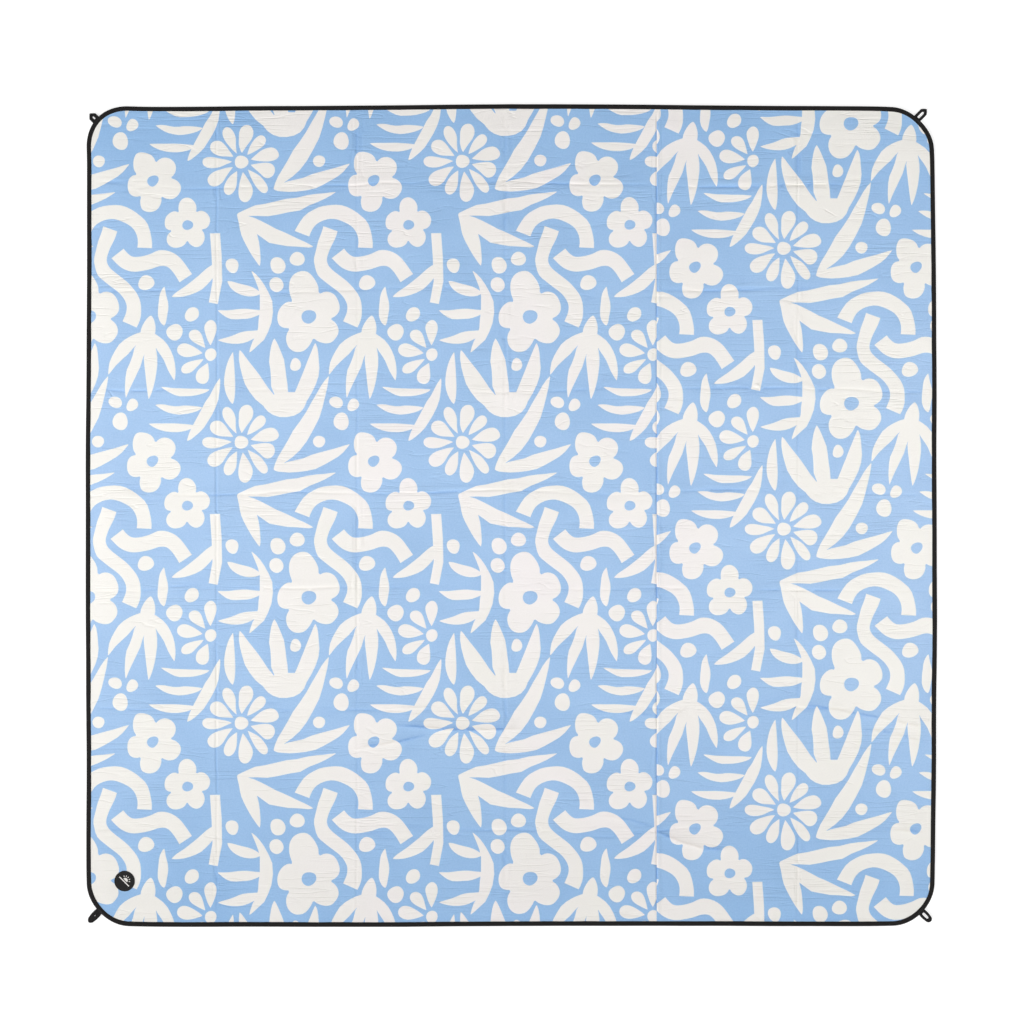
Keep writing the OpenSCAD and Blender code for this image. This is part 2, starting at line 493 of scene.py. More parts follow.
def daisy(r, petals, first=0.0, last=360.0):
    """Separate petals round a dot, all the way round or in a fan"""
    step = (last - first) / petals
    width = min(0.4 * r, 1.3 * r * math.sin(math.radians(step / 2)))
    ink = [disc(0, 0, 0.17 * r)]
    for k in range(petals):
        angle = first + (k + 0.5) * step
        near, far = polar(0.25 * r, angle), polar(r * (1 - 0.1 * (k % 3 == 1)), angle)
        ink.append(blade(near, far, width * (1 - 0.2 * (k % 2)), 0.0, 1.9, 0.45))
    return ink, []


def fan(h, leaves, foot=0.0, skew=0.85):
    """Leaves that open from one foot, each (x, y, width, bend) as shares of the height h"""
    ink = [blade((0, foot * h), (x * h, y * h), width * h, bend, skew) for x, y, width, bend in leaves]
    return ink, []


def cup(h):
    """Three broad tongues over a round foot"""
    tongues = (-0.42, 0.97, 0.23, 0.1), (0.06, 1.02, 0.22, 0.03), (0.56, 0.84, 0.22, -0.1)
    ink, eyes = fan(h, tongues, 0.02, 0.95)
    return ink + [blade((-0.27 * h, 0.27 * h), (0.3 * h, 0.24 * h), 0.34 * h, -0.2, 1.0, 0.6)], eyes


def frond(h):
    """Four narrow fingers over a short stalk"""
    fingers = (-0.44, 0.66, 0.1), (-0.16, 0.96, 0.04), (0.14, 1.0, -0.03), (0.42, 0.74, -0.1)
    ink, eyes = fan(h, [(x, y, 0.16, bend) for x, y, bend in fingers], 0.12)
    return ink + [blade((0, -0.12 * h), (0, 0.42 * h), 0.2 * h)], eyes


def ribs(h, leaves, width, stem):
    """A bowed stem with leaves along one side, each (from x, y, to x, y) as shares of the height h"""
    ink = [blade((x * h, y * h), (u * h, v * h), width * h, 0.07, 0.9) for x, y, u, v in leaves]
    return ink + [blade((0, 0), (stem[0] * h, stem[1] * h), 0.17 * h, stem[2])], []


def sprig(h):
    return ribs(h, ((0.16, 0.3, -0.42, 0.16), (0.2, 0.56, -0.42, 0.56), (0.14, 0.8, -0.3, 0.96)), 0.15,
                (0.02, 1.1, -0.2))


def comb(h):
    return ribs(h, [(0.05, y, -0.62, y - 0.2) for y in (0.26, 0.54, 0.82)], 0.13, (0.14, 1.04, -0.06))


def branch(h):
    """A plain stem with one leaf at its side"""
    stem = np.array([[0, 0], [-0.02, 0.34], [-0.02, 0.68], [0.03, 1.0]]) * h
    return [stroke(stem, 0.07 * h), blade((-0.02 * h, 0.42 * h), (0.62 * h, 0.9 * h), 0.18 * h, 0.09)], []


def ribbon(length, rise, width, waves):
    """A wavy band with square ends"""
    t = np.linspace(-0.5, 0.5, 31)
    line = np.stack([length * t, rise * np.sin(TURN * waves * t + 0.4)], 1)
    return alone(stroke(line, width / 2 * (1 + 0.3 * t * t)))


def turned(shape, turn, x=0.0, y=0.0):
    """A shape turned about its own origin and moved"""
    c, s = polar(1, turn)
    spin = np.array([[c, s], [-s, c]])
    return [[ring @ spin + (x, y) for ring in rings] for rings in shape]


def hand_cut(ring):
    """The outline with the slight waver of scissors"""
    x, y = ring.T
    return ring + 2.6 * np.column_stack([noise(x / 32, y / 32, 6), noise(x / 32, y / 32, 7)])


def inside(rings, x, y):
    """Whether each point lies in any of the rings"""
    found = np.zeros(x.shape, bool)
    for ring in rings:
        lo, hi = ring.min(0), ring.max(0)
        near = np.nonzero((x >= lo[0]) & (x <= hi[0]) & (y >= lo[1]) & (y <= hi[1]))
        px, py = x[near], y[near]
        winding = np.zeros(px.shape, int)
        for (ax, ay), (bx, by) in zip(ring, np.roll(ring, -1, axis=0)):
            side = (bx - ax) * (py - ay) - (px - ax) * (by - ay)
            winding += (ay <= py) & (by > py) & (side > 0)
            winding -= (ay > py) & (by <= py) & (side < 0)
        found[near] |= winding != 0
    return found


def spread(mask, reach):
    """A wrapped mask grown by reach millimetres"""
    n = int(reach / PRINT_CELL + 0.5)
    grown = mask.copy()
    for i, j in itertools.product(range(-n, n + 1), repeat=2):
        if i * i + j * j <= n * n:
            grown |= np.roll(mask, (i, j), (0, 1))
    return grown


def matches(field, mask):
    """For every shift of mask, how many of its cells meet field (both wrap round)"""
    return np.rint(np.fft.irfft2(np.fft.rfft2(field) * np.conj(np.fft.rfft2(mask)), s=mask.shape))


def alone(ring):
    """A shape of one ring, with no eye"""
    return [ring], []


SWAYS = (-12, 0, 12)
PRINT_SHAPES = (  # each shape and the ways it may be turned, the largest first
    (fan(240, ((0.34, 1.0, 0.16, -0.06), (0.68, 0.38, 0.14, -0.07))), SWAYS),
    (daisy(92, 11), (0,)),
    (cup(180), SWAYS),
    (flower(82, 0.25), (0, 12)),
    (fan(235, ((0.98, 0.21, 0.14, -0.03), (0.75, -0.33, 0.15, -0.07), (0.21, -0.52, 0.14, 0.04))), SWAYS),
    (ribbon(230, 26, 33, 1.1), (60, 75, 105)),
    (frond(180), (0, 170, 190)),
    (sprig(175), SWAYS),
    (comb(160), (-20, 0, 150)),
    (alone(arc_band(76, 34, 4, 172)), (0, -10)),
    (flower(70), (0, 30)),
    (ribbon(170, 20, 34, 1.0), (0, -20, 20)),
    (branch(165), (0, 180)),
    (daisy(80, 5, 50, 250), (0, 20)),
    (flower(60), (0, 20)),
    (daisy(78, 5, -100, 95), (0, 20)),
    (alone(arc_band(62, 34, -62, 68)), (0, 180)),
    (alone(blade((0, 0), (0, 120), 26, 0.06)), range(0, 360, 30)),
    (alone(blade((0, 0), (0, 90), 24, 0.06)), range(0, 360, 30)),
)
PRINT_DOTS = 4 * (19,) + 4 * (16,) + 4 * (14,)


def lay_out():
    """One repeat of the print: each shape nests as close as it can to those already down, and dots fill up"""
    nx, ny = int(REPEAT_W / PRINT_CELL), int(REPEAT_H / PRINT_CELL)
    cx, cy = np.meshgrid(np.arange(nx) * PRINT_CELL, np.arange(ny) * PRINT_CELL, indexing="ij")
    cx = (cx + REPEAT_W / 2) % REPEAT_W - REPEAT_W / 2
    cy = (cy + REPEAT_H / 2) % REPEAT_H - REPEAT_H / 2
    dots = tuple((alone(disc(0, 0, r, r)), (k * 40,)) for k, r in enumerate(PRINT_DOTS))
    taken = np.zeros((nx, ny), bool)
    placed = []
    for shape, turns in PRINT_SHAPES + dots:
        crowd = spread(taken, 3 * PRINT_GAP)
        nearer = 1 if len(placed) < len(PRINT_SHAPES) else -1
        best, found = -np.inf, None
        for turn in turns:
            mask = inside(turned(shape, turn)[0], cx, cy)
            free = matches(taken, spread(mask, PRINT_GAP)) < 1
            score = np.where(free, nearer * matches(crowd, mask) / mask.sum(), -np.inf)
            if score.max() > best:
                best, found = score.max(), (turn, *np.unravel_index(score.argmax(), score.shape), mask)
        if found:
            turn, i, j, mask = found
            whole = turned(shape, turn, i * PRINT_CELL, j * PRINT_CELL)
            placed.append([[hand_cut(ring) for ring in rings] for rings in whole])
            taken |= np.roll(mask, (i, j), (0, 1))
    return placed


def print_over(x0, x1, start):
    """The print's rings and open eyes that meet the cloth between x0 and x1"""
    rings = ([], [])
    for i, j in itertools.product(range(-3, 4), repeat=2):
        move = np.add(start, (i * REPEAT_W, j * REPEAT_H))
        for shape in REPEAT:
            for found, kind in zip(rings, shape):
                for ring in kind:
                    lo, hi = ring.min(0) + move, ring.max(0) + move
                    if hi[0] > x0 and lo[0] < x1 and hi[1] > -HALF_L and lo[1] < HALF_L:
                        found.append(ring + move)
    return rings


REPEAT = lay_out()


# ---- materials

def new_material(name, **constants):
    """A material, its node tree and its shader, with the shader's constants set"""
    material = bpy.data.materials.new(name)
    material.use_nodes = True
    shader = material.node_tree.nodes["Principled BSDF"]
    for socket, value in constants.items():
        shader.inputs[socket.replace("_", " ")].default_value = value
    return material, material.node_tree, shader


def node(tree, kind, inputs, out=0, **settings):
    """A shader node with its settings, and its inputs set or linked. Gives the wanted output"""
    made = tree.nodes.new("ShaderNode" + kind)
    for key, value in settings.items():
        setattr(made, key, value)
    for key, value in inputs.items():
        if isinstance(value, bpy.types.NodeSocket):
            tree.links.new(value, made.inputs[key])
        else:
            made.inputs[key].default_value = value
    return made.outputs[out]


def maths(tree, operation, a, b=0.0, c=0.5):
    return node(tree, "Math", {0: a, 1: b, 2: c}, operation=operation)


def times(tree, a, b):
    """Two places or colours multiplied, part by part"""
    return node(tree, "VectorMath", {0: a, 1: b}, operation="MULTIPLY")


def mix(tree, factor, *colours):
    """A colour between two, each a tuple or a socket"""
    a, b = ((*colour, 1) if isinstance(colour, tuple) else colour for colour in colours)
    return node(tree, "Mix", {0: factor, 6: a, 7: b}, out=2, data_type="RGBA")


def rescale(tree, value, start=0.0, end=1.0, low=0.0, high=1.0, **settings):
    """The value's range from start to end becomes low to high"""
    return node(tree, "MapRange", {0: value, 1: start, 2: end, 3: low, 4: high}, **settings)


def drive(tree, shader, colour, rough=None):
    """Links the shader's colour, and its roughness where that varies"""
    tree.links.new(colour, shader.inputs["Base Color"])
    if rough is not None:
        tree.links.new(rough, shader.inputs["Roughness"])


def cloth_place(tree, stretch=(1, 1, 1)):
    """Where a point is in the flat cloth, in metres times stretch"""
    return times(tree, node(tree, "Attribute", {}, out="Vector", attribute_name="rest"), stretch)


def cloud(tree, place, scale=1.0, detail=2.0, roughness=0.5):
    return node(tree, "TexNoise", {"Vector": place, "Scale": scale, "Detail": detail, "Roughness": roughness})


def spread_out(tree, value):
    """Noise that keeps near its middle, spread over all of 0 to 1"""
    return rescale(tree, value, 0.33, 0.67)


def waves(tree, place, axis, pitch):
    """From -1 to 1 and back along one axis every pitch metres"""
    along = node(tree, "SeparateXYZ", {0: place}, out=axis)
    return maths(tree, "SINE", maths(tree, "MULTIPLY", along, TURN / pitch))


def weave(tree, place, pitch):
    """Height of a plain weave, from 0 to 1"""
    over = maths(tree, "MULTIPLY", waves(tree, place, 0, pitch), waves(tree, place, 1, pitch))
    return maths(tree, "MULTIPLY_ADD", over, 0.5)


def bumps(tree, shader, *layers):
    """Sets the shader's normal from heights, each with the metres that 1 of it stands for"""
    under = {}
    for height, size in layers:
        inputs = {"Height": height, "Distance": size, "Strength": 1.0}
        under = {"Normal": node(tree, "Bump", {**inputs, **under})}
    tree.links.new(under["Normal"], shader.inputs["Normal"])


def hairlines(tree, stretch, width):
    """Thin wandering lines: 1 on a line, 0 away from it"""
    wander = cloud(tree, cloth_place(tree, stretch), 1, 1.5)
    away = maths(tree, "ABSOLUTE", maths(tree, "SUBTRACT", wander, 0.5))
    return rescale(tree, away, 0.0, width, 1.0, 0.0, interpolation_type="SMOOTHSTEP")


def crinkle_bump(tree):
    """Height of thin broken crinkles from side to side, finer than the mesh"""
    patches = rescale(tree, cloud(tree, cloth_place(tree, (4, 12, 1)), 1, 2), 0.47, 0.62)
    sparse = rescale(tree, cloud(tree, cloth_place(tree, (7, 26, 1)), 1, 1), 0.5, 0.64)
    close = maths(tree, "MULTIPLY", hairlines(tree, (3.5, 62, 1), 0.03), patches)
    apart = maths(tree, "MULTIPLY", hairlines(tree, (6, 36, 1), 0.026), sparse)
    return maths(tree, "SUBTRACT", 1, maths(tree, "MAXIMUM", close, apart))


def squares(tree):
    """The squares of how far across and along the cloth a point is from its middle, in metres"""
    place = cloth_place(tree)
    across = node(tree, "SeparateXYZ", {0: times(tree, place, place)}, "X")
    return across, across.node.outputs["Y"]


def painted_light_falloff(tree):
    """Painted light fall-off: the blue is a little darker toward the front and back, away from the side
    softboxes, and paler toward the sides
    """
    across, along = squares(tree)
    paler = maths(tree, "MULTIPLY_ADD", across, 0.33, 0.57)
    darker_ends = maths(tree, "MULTIPLY", along, maths(tree, "MULTIPLY_ADD", across, 0.55, 0.52))
    return mix(tree, maths(tree, "SUBTRACT", paler, darker_ends), (0.84, 0.93, 0.985), (1.12, 1.04, 1.0))


def printed_cotton():
    material, tree, shader = new_material("printed_cotton", Sheen_Weight=0.12, Sheen_Roughness=0.45)
    place = cloth_place(tree)
    broad = spread_out(tree, cloud(tree, place, 6, 3))
    fine = cloud(tree, place, 260, 4, 0.65)
    worn = maths(tree, "MULTIPLY_ADD", spread_out(tree, fine), 0.6, maths(tree, "MULTIPLY", broad, 0.4))
    # Painted light: the blue is multiplied by the painted fall-off of the studio light
    blue = times(tree, mix(tree, worn, (0.312, 0.5, 0.769), (0.397, 0.59, 0.857)), painted_light_falloff(tree))
    rosy = rescale(tree, squares(tree)[0], 0.55, 0.05)
    rosy = maths(tree, "MULTIPLY", rosy, spread_out(tree, cloud(tree, place, 3.5, 2)))
    warm = mix(tree, rosy, (0.87, 0.85, 0.8), (0.89, 0.843, 0.84))
    dusty, clean = (mix(tree, 0.8, grey, warm) for grey in ((0.8, 0.78, 0.765), (0.93, 0.92, 0.91)))
    ink, shade = (node(tree, "Attribute", {}, out="Fac", attribute_name=name) for name in ("print", "shade"))
    open_cloth = mix(tree, ink, blue, mix(tree, worn, dusty, clean))
    # Painted shade: where the shade attribute is high the colour goes toward its own square, darker and more
    # saturated in the creases
    painted_crease_shade = times(tree, open_cloth, open_cloth)
    drive(tree, shader, mix(tree, maths(tree, "MULTIPLY", shade, 0.5), open_cloth, painted_crease_shade),
          rescale(tree, fine, low=0.78, high=0.92))
    slub = cloud(tree, cloth_place(tree, (300, 2400, 1)), 1, 1)
    bumps(tree, shader, (weave(tree, place, 0.0009), 0.00012), (slub, 0.0001), (crinkle_bump(tree), 0.0005))
    return material


def wadding_fibre():
    material, tree, shader = new_material("wadding", Roughness=0.95, Sheen_Weight=0.3, Sheen_Roughness=0.6)
    tangle = cloud(tree, cloth_place(tree), 900, 5, 0.7)
    drive(tree, shader, mix(tree, tangle, (0.78, 0.76, 0.71), (0.95, 0.94, 0.92)))
    bumps(tree, shader, (tangle, 0.0006))
    return material


def coated_backing():
    material, tree, shader = new_material("coated_backing", Specular_IOR_Level=0.4)
    place = cloth_place(tree)
    grip = cloud(tree, place, 1300, 2)
    patchy = cloud(tree, place, 10, 3)
    drive(tree, shader, mix(tree, patchy, (0.028, 0.03, 0.033), (0.043, 0.045, 0.049)),
          rescale(tree, patchy, low=0.5, high=0.68))
    bumps(tree, shader, (weave(tree, place, 0.0012), 0.00012), (grip, 0.00006), (crinkle_bump(tree), 0.0006))
    return material


def ribbed_tape(name, pitch, dark, light):
    """Woven tape with ribs across its length; its flat cloth runs along x"""
    gloss = {"Sheen_Weight": 0.03, "Sheen_Roughness": 0.5, "Specular_IOR_Level": 0.25}
    material, tree, shader = new_material(name, **gloss)
    place = cloth_place(tree)
    rib = maths(tree, "MULTIPLY_ADD", waves(tree, place, 0, pitch), 0.5)
    yarn = waves(tree, place, 1, 0.0007)
    fuzz = cloud(tree, place, 500, 3, 0.6)
    drive(tree, shader, mix(tree, maths(tree, "MULTIPLY", fuzz, rib), dark, light),
          rescale(tree, fuzz, low=0.68, high=0.86))
    bumps(tree, shader, (rib, 0.00022), (yarn, 0.00005), (fuzz, 0.0001))
    return material


def twisted_thread(name, dark, light):
    material, tree, shader = new_material(name, Roughness=0.6, Sheen_Weight=0.05, Specular_IOR_Level=0.35)
    ply = maths(tree, "MULTIPLY_ADD", waves(tree, cloth_place(tree, (1, 2, 1)), 0, 0.0006), 0.5)
    drive(tree, shader, mix(tree, ply, dark, light))
    bumps(tree, shader, (ply, 0.00006))
    return material


def moulded_rubber(name, dark, light):
    material, tree, shader = new_material(name, Specular_IOR_Level=0.25)
    place = node(tree, "TexCoord", {}, out="Object")
    grain = cloud(tree, place, 1500, 2)
    scuffs = cloud(tree, times(tree, place, (200, 900, 200)), 1, 3)
    drive(tree, shader, mix(tree, scuffs, dark, light), rescale(tree, scuffs, low=0.42, high=0.62))
    bumps(tree, shader, (grain, 0.00005), (scuffs, 0.00008))
    return material


COTTON = printed_cotton()
FIBRE = wadding_fibre()
BACKING = coated_backing()
TAPE = ribbed_tape("binding_tape", 0.0011, (0.006, 0.005, 0.005), (0.02, 0.017, 0.0165))
LOOP_TAPE = ribbed_tape("loop_tape", 0.0009, (0.006, 0.0055, 0.0055), (0.02, 0.018, 0.018))
BLACK_THREAD = twisted_thread("black_thread", (0.008, 0.007, 0.007), (0.022, 0.02, 0.019))
BLUE_THREAD = twisted_thread("blue_thread", (0.33, 0.5, 0.72), (0.5, 0.66, 0.85))
BADGE_RUBBER = moulded_rubber("badge", (0.006, 0.0056, 0.0055), (0.017, 0.016, 0.0155))
MARK_RUBBER = moulded_rubber("badge_mark", (0.72, 0.7, 0.66), (0.86, 0.84, 0.8))


# ---- face, wadding and backing

# How far apart a layer's points are across the blanket and along it: seen cloth, and hidden cloth
FINE = (13, 5)
COARSE = (24, 16)


def face_heights(x, y):
    top = FACE_TOP + puff(x, y) + crinkle(x, y)[0]
    return top, top - (FACE_TOP - FACE_Z)


def wadding_heights(x, y):
    top = FACE_Z + puff(x, y) - 0.1 + CREASE_DEPTH * freedom(x, y) - 1.4 * bell(x - SEAM_X, 6)
    return np.maximum(top, WADDING_Z + 0.3), np.full_like(x, WADDING_Z)


def backing_heights(x, y):
    """The backing sags to the ground between the tapes, and the sharp creases of the face show through it"""
    sag = 0.28 + 0.2 * noise(x / 95, y / 60, 4) - 0.16 * crinkle(x, y)[0]
    bottom = BACKING_Z - freedom(x, y) * np.clip(sag, 0.02, 0.56)
    return np.full_like(x, WADDING_Z), bottom


def declare(nodes):
    """Hides the CAD nodes that a piece stands for"""
    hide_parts(*nodes)


def build_layers(k, trim):
    """The backing, wadding and face of section k, whose binding and thread are its trim"""
    x0, x1 = CUTS[k - 1], CUTS[k]
    numbers = (5, 6) if k == 5 else (k,)
    backing = layer(f"backing_section_{k}", x0, x1, CLOTH_INSET, COARSE, backing_heights, BACKING)
    wadding = layer(f"wadding_section_{k}", x0, x1, CLOTH_INSET + 0.5, COARSE, wadding_heights, FIBRE)
    declare([f"backing_{n}" for n in numbers])
    declare([f"wadding_{n}" for n in numbers])
    for panel, a, b, last in (("main", x0, min(x1, SEAM_X), k), ("side", max(x0, SEAM_X), x1, k + 1)):
        if a < b:
            name = f"face_{panel}_section_{k}"
            printed = print_over(a, b, PRINT_START[panel])
            face = layer(name, a, b, CLOTH_INSET, FINE, face_heights, COTTON, printed)
            declare([f"face_{panel}_{last}"])
            fold_with(face)
    for piece in (backing, wadding, *trim):
        fold_with(piece)


# ---- binding tape and its stitching

TAPE_NOSE = [(2 - 2 * math.cos(a), TAPE_TOP / 2 * (1 + math.sin(a))) for a in np.radians(range(75, -76, -15))]
# Half of the tape's section: (distance from the edge, height); the top half rides up with the face
TAPE_SECTION = (
    [(TAPE_W, FACE_TOP + 0.12), (TAPE_W + 0.3, FACE_TOP + 0.35), (TAPE_W, TAPE_TOP), (9.6, TAPE_TOP - 0.04),
     (9.0, TAPE_TOP - 0.14), (8.4, TAPE_TOP - 0.04), (6.5, TAPE_TOP + 0.08), (4.0, TAPE_TOP + 0.04)]
    + TAPE_NOSE
    + [(4.0, 0), (8.4, 0), (9.0, 0.1), (9.6, 0), (TAPE_W, 0.03), (TAPE_W + 0.3, 0.3), (TAPE_W, TAPE_T - 0.05)]
    + [(2.4, TAPE_T - 0.02), (1.1, 1.4), (0.9, 2.6), (1.1, 3.8), (2.2, FACE_TOP + 0.05)]
)
STITCH_INSET = 9.0
STITCH_PITCH = 3.6
TAPE_STEP = 7


def tape_runs(k):
    """The runs of the edge that the tape of section k follows"""
    cuts = CUTS[k - 1:k + 1]
    return edge_runs(*cuts, columns(*cuts, TAPE_STEP), graded(-HALF_L, HALF_L, TAPE_STEP, ()))


def binding(k):
    """The tape round the edge of section k, swept from its section"""
    section = np.array(TAPE_SECTION)
    n = len(section)
    girth = travelled(section)
    points, rest, faces = [], [], []
    for run in tape_runs(k):
        first = len(points)
        for place, along in zip(run, travelled(run[:, :2])):
            waver = 0.35 * noise(place[0] / 45, place[1] / 45, 70)
            inset = section[:, 0] + waver * ramp(section[:, 0], 4, TAPE_W)
            x, y = place[:2, None] + inset * place[2:, None]
            lift = puff(x, y) * ramp(section[:, 1], 0.5, FACE_TOP)
            points += np.column_stack([*bow(x, y), section[:, 1] + lift]).tolist()
            rest += np.column_stack([np.full(n, along), girth, np.zeros(n)]).tolist()
        faces += tube(first, len(points), n)
    piece = make_piece(f"binding_section_{k}", TAPE, points, faces, rest)
    sides = {1: ["binding_left"], 5: ["binding_right"]}.get(k, [])
    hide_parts(*sides, *[f"binding_{side}_{k}" for side in ("front", "back") if k > 1])
    return piece


UP = np.array([0, 0, 1.0])
# A stitch's rings: (place along it, girth, rise); its ends dip into the cloth
STITCH_RINGS = ((-0.5, 0.3, -0.9), (-0.3, 0.9, 0.0), (0.0, 1.0, 0.25), (0.3, 0.9, 0.0), (0.5, 0.3, -0.9))


def spindles(places, along, up, length, thick):
    """Stitches: short rounded threads, each at a place, along one way and raised another"""
    side = np.cross(up, along)
    sides = 6
    points, rest = [], []
    for (at, girth, rise), t in itertools.product(STITCH_RINGS, np.arange(sides) * TURN / sides):
        out = girth * (math.cos(t) * side + math.sin(t) * up) + rise * up
        points.append(places + at * length * along + thick / 2 * out)
        rest.append((at * length, t, 0))
    each = len(points)
    faces = [tuple(i * each + v for v in face) for i in range(len(places)) for face in tube(0, each, sides)]
    return np.stack(points, 1).reshape(-1, 3), faces, np.tile(rest, (len(places), 1))


def even_places(run, pitch, inset):
    """Even places along a run of the edge, inset from it: x, y, puff, and the way along"""
    x, y = (run[:, :2] + inset * run[:, 2:]).T
    line = np.column_stack([*bow(x, y), puff(x, y)])
    passed = travelled(line[:, :2])
    at = (np.arange(int(passed[-1] / pitch)) + 0.5) * pitch
    places = np.column_stack([np.interp(at, passed, line[:, c]) for c in range(3)])
    inward = np.column_stack([np.interp(at, passed, run[:, c]) for c in (2, 3)] + [np.zeros(len(at))])
    return places, np.cross(inward, UP)


def join(groups):
    """Several groups of (points, faces, rest) as one"""
    points, shapes, rest = zip(*groups)
    faces, start = [], 0
    for own, shape in zip(points, shapes):
        faces += [tuple(v + start for v in face) for face in shape]
        start += len(own)
    return np.vstack(points), faces, np.vstack(rest)


def bar_tack(sx, sy):
    """Close stitches across the root of a peg loop"""
    x, y = bow(*(corner_middle(sx, sy) + (CORNER_R - 4.5) * outward(sx, sy))[:, None])
    out = np.array([*outward(sx, sy), 0])
    aside = np.array([-out[1], out[0], 0])
    at = np.arange(-8, 8.1, 0.8)
    places = np.array([x[0], y[0], TAPE_TOP + 0.2]) + at[:, None] * aside
    tilt = np.where(np.arange(len(at)) % 2, 0.25, -0.25)[:, None]
    along = out + tilt * aside
    along /= np.linalg.norm(along, axis=1)[:, None]
    return spindles(places, along, UP, 4.2, 0.7)


def binding_thread(k):
    """The rows of stitching that hold the tape of section k, above and below"""
    groups = []
    for run in tape_runs(k):
        places, along = even_places(run, STITCH_PITCH, STITCH_INSET)
        for z, side in ((TAPE_TOP - 0.03 + places[:, 2], 1.0), (0.22 + 0 * places[:, 2], -1.0)):
            groups.append(spindles(np.column_stack([places[:, :2], z]), along, side * UP, 2.7, 0.42))
    groups += [bar_tack(sx, sy) for sx, sy in CORNERS if CUTS[k - 1] <= sx * HALF_W <= CUTS[k]]
    piece = make_piece(f"binding_thread_{k}", BLACK_THREAD, *join(groups))
    return piece


def seam_thread():
    """The stitches beside the seam, through its turned cloth"""
    y = np.arange(-HALF_L + 14, HALF_L - 14, 3.2)
    x = np.full_like(y, SEAM_X + 7.2)
    places = np.column_stack([*bow(x, y), face_heights(x, y)[0] - 0.02])
    piece = make_piece("seam_thread", BLUE_THREAD, *spindles(places, np.array([0, 1.0, 0]), UP, 2.4, 0.5))
    fold_with(piece)


# ---- peg loops

LOOP_T = 1.1
# Corner, how far along the edge from the corner's middle, half width, length, half width of the slot, where
# the slot starts and ends, how far the sides bow out, and how round the tip is: 1 is a mitre, 2 an ellipse
LOOPS = {
    "front_left": ((-1, -1), -3.5, 7.8, 34, 0.05, 11, 15, 1.6, 1.5),
    "front_right": ((1, -1), 1.3, 8.4, 29.5, 2.7, 3, 20, 1.4, 1.9),
    "back_left": ((-1, 1), 7.2, 10.2, 21, 1.7, 2, 10, 0.4, 1.05),
    "back_right": ((1, 1), 9.0, 9.6, 29.5, 2.8, 1.5, 20, 0.2, 1.15),
}
LOOP_TUCK = 5.0
LOOP_Z = 2.6


def loop_outline(half, reach, start, bulge, tip):
    """A band's outline from its root at start to its tip at reach, as a closed ring"""
    shoulder = reach - half
    u = np.linspace(start, shoulder, 14)
    v = half + bulge * np.sin(math.pi * (u - start) / (shoulder - start))
    t = np.sin(np.linspace(0, math.pi / 2, 12))[1:]
    left = np.column_stack([np.concatenate([u, shoulder + half * t]),
                            np.concatenate([v, half * (1 - t ** tip) ** (1 / tip)])])
    return np.vstack([left * (1, -1), left[-2::-1]])


def peg_loop(name):
    """A loop of tape folded to a point, sewn into the binding by its two ends"""
    (sx, sy), beside, half, reach, slot_half, slot_start, slot_end, bulge, tip = LOOPS[name]
    outer = loop_outline(half, reach, -LOOP_TUCK, bulge, tip)
    slot = loop_outline(slot_half, slot_end, slot_start, 0.3 * bulge, tip)
    legs = [np.linspace(ring, np.roll(ring, -1, axis=0), 4)[:-1].reshape(-1, 2) for ring in (outer, slot)]
    grid = np.stack(np.meshgrid(np.arange(-LOOP_TUCK, reach), np.arange(-12.0, 13), indexing="ij"), -1)
    grid = clear_of(grid.reshape(-1, 2), np.vstack(legs), 1.0)

    def on_tape(x, y):
        return inside([outer], x, y) & ~inside([slot], x, y)

    flat, triangles = filled((outer, slot), grid, on_tape)
    u, v = flat.T
    lap = 0.5 * ramp(v, -0.4, 0.4) * ramp(u, reach - half - 3, reach - half - 1)
    sway = 0.5 * np.sin(math.pi * np.clip(u / reach, 0, 1)) * (1 + 0.4 * np.sign(v))
    across_leg = (np.abs(v) - (half + slot_half) / 2) / (half - slot_half)
    rise = LOOP_Z + lap + sway + 0.12 * np.cos(math.pi * np.clip(across_leg, -0.5, 0.5))
    middle = corner_middle(sx, sy)
    out, aside = outward(sx, sy), outward(-sy, sx)
    x, y = bow(*(middle + CORNER_R * out + np.outer(u, out) + np.outer(v + beside, aside)).T)
    solid = np.vstack([np.column_stack([x, y, rise + side * LOOP_T / 2]) for side in (1, -1)])
    faces = slab(triangles, len(flat))
    piece = make_piece(f"peg_loop_tape_{name}", LOOP_TAPE, solid, faces, both_sides(flat))
    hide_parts(f"peg_loop_{name}")
    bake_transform(piece)


# ---- badge

BADGE_SIDES = 96


def badge_disc():
    """A round moulded patch with a raised rim and a groove for its thread"""
    base, top, ground = FACE_TOP - 0.2, BADGE_HI[2], BADGE_LO[2] + 0.8
    profile = ((19.0, ground), (20.6, ground), (20.9, ground - 0.15), (21.3, ground - 0.15), (21.7, ground),
               (22.1, top - 0.08), (22.5, top), (23.2, top), (23.7, top - 0.12), (24.0, top - 0.4),
               (24.0, base), (23.6, base))
    a = np.arange(BADGE_SIDES) * TURN / BADGE_SIDES
    points = [(BADGE_X, BADGE_Y, ground)]
    for r, z in profile:
        reach = r * BADGE_R / 24
        points += zip(BADGE_X + reach * np.cos(a), BADGE_Y + reach * np.sin(a), np.full(BADGE_SIDES, z))
    points.append((BADGE_X, BADGE_Y, base))
    faces = []
    last = len(points) - 1 - BADGE_SIDES
    for j in range(BADGE_SIDES):
        beside = (j + 1) % BADGE_SIDES
        faces.append((0, 1 + j, 1 + beside))
        for first in range(1, last, BADGE_SIDES):
            second = first + BADGE_SIDES
            faces.append((first + j, second + j, second + beside, first + beside))
        faces.append((last + j, len(points) - 1, last + beside))
    piece = make_piece("badge_disc", BADGE_RUBBER, points, faces)
    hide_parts("badge_patch")
    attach(piece, "strip_1")
    return ground


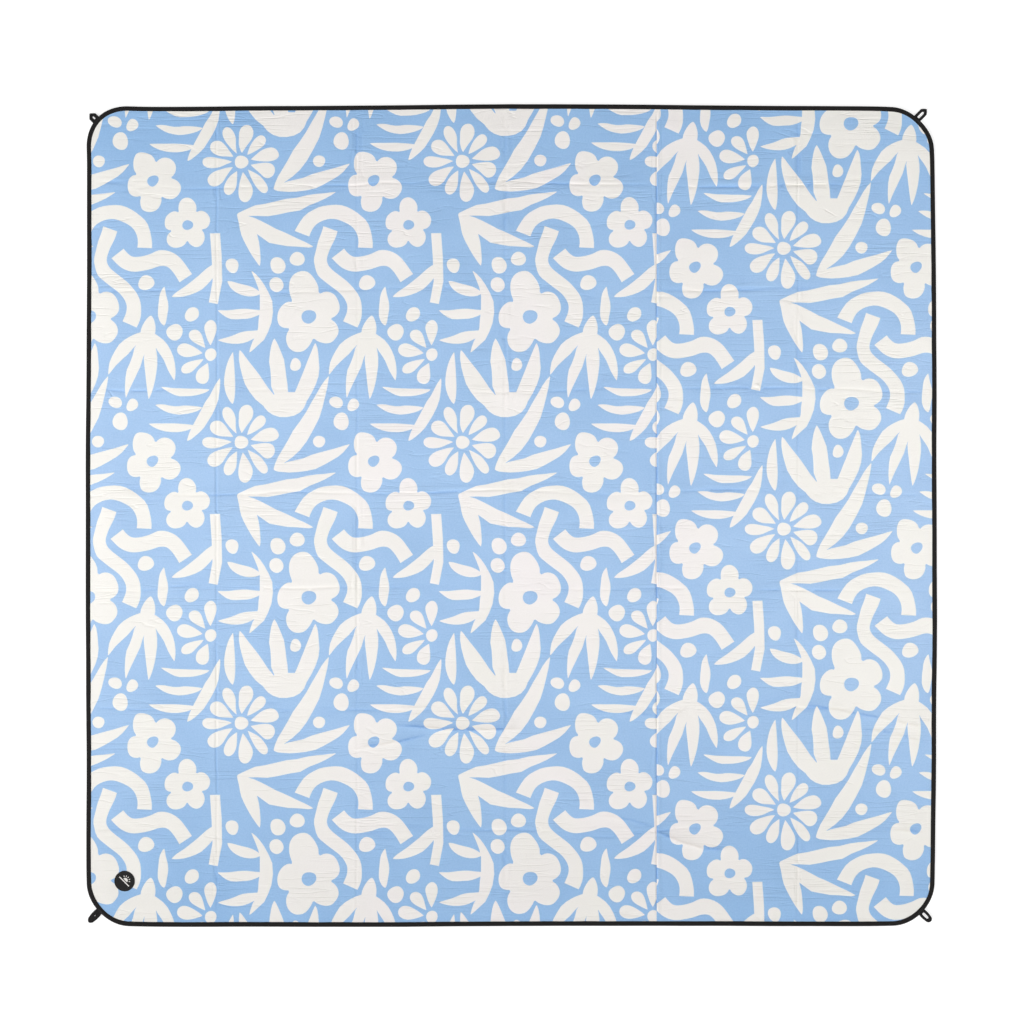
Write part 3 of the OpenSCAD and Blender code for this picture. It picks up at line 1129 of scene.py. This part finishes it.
def badge():
    """The patch, the stitches in its groove, and its mark"""
    ground = badge_disc()
    t = np.arange(42) * TURN / 42
    out = np.column_stack([np.cos(t), np.sin(t), 0 * t])
    places = np.array([BADGE_X, BADGE_Y, ground + 0.02]) + 21.1 * out
    thread = make_piece("badge_thread", BLACK_THREAD, *spindles(places, np.cross(UP, out), UP, 2.2, 0.45))
    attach(thread, "strip_1")
    mark = frame["nodes"]["badge_mark"]
    mark.data.materials.clear()
    mark.data.materials.append(MARK_RUBBER)


# ---- camera, floor and light

def camera():
    """Straight above the blanket, its back edge at the top of the view"""
    data = bpy.data.cameras.new("camera")
    data.lens, data.sensor_width, data.clip_end = 74.7, 36, 50
    eye = add_object("camera", data)
    eye.location = (0.0028, 0.0078, 5)
    scene.camera = eye


STUDIO_R = 12.0
STUDIO_SIDES = 64
FLOOR_Z = -0.0005


def lamp(name, kind, place, turn, **settings):
    data = bpy.data.lights.new(name, kind)
    for key, value in settings.items():
        setattr(data, key, value)
    light = add_object(name, data)
    light.location, light.rotation_euler = place, turn


def staged(name, points, faces, colour, glow):
    """A part of the studio, of one plain colour, with a little light of its own"""
    mesh = bpy.data.meshes.new(name)
    mesh.from_pydata(points, [], faces)
    look = {"Base_Color": colour, "Roughness": 0.9, "Specular_IOR_Level": 0.0,
            "Emission_Color": (1, 1, 1, 1), "Emission_Strength": glow}
    mesh.materials.append(new_material(name, **look)[0])
    thing = add_object(name, mesh)
    return thing


def studio():
    """A plain pale floor and backdrop, a softbox on each side and low light from the front left"""
    n = STUDIO_SIDES
    rim = [(STUDIO_R * math.cos(t), STUDIO_R * math.sin(t)) for t in np.arange(n) * TURN / n]
    staged("floor", [(x, y, FLOOR_Z) for x, y in rim], [tuple(range(n))], (0.45, 0.45, 0.45, 1), 0.72)
    walls = [(x, y, z) for z in (-1, STUDIO_R) for x, y in rim]
    sides = [(i, n + i, n + (i + 1) % n, (i + 1) % n) for i in range(n)]
    backdrop = staged("backdrop", walls, sides, (0, 0, 0, 1), 0.95)
    # The backdrop is only a background: it takes no light away and gives none
    backdrop.visible_diffuse = backdrop.visible_glossy = backdrop.visible_shadow = False
    world = bpy.data.worlds.new("studio")
    world.use_nodes = True
    background = world.node_tree.nodes["Background"].inputs
    background["Color"].default_value = (1, 1, 1, 1)
    background["Strength"].default_value = 0.205
    scene.world = world
    for name, side, watts in (("left_softbox", -1, 22.3), ("right_softbox", 1, 18.7)):
        lamp(name, "AREA", (side * 2.7, 0, 2.1), (0, side * math.atan2(2.7, 2.1), 0), shape="RECTANGLE",
             size=1.4, size_y=1.1, energy=watts, spread=math.radians(115))
    lamp("low_window", "SUN", (0, 0, 3), (math.radians(64), 0, math.radians(-32)), energy=2.36,
         angle=math.radians(7))
    scene.view_settings.view_transform = "Standard"


camera()
studio()
for section in FOLDS:
    build_layers(section, [binding(section), binding_thread(section)])
seam_thread()
for corner_name in LOOPS:
    peg_loop(corner_name)
badge()
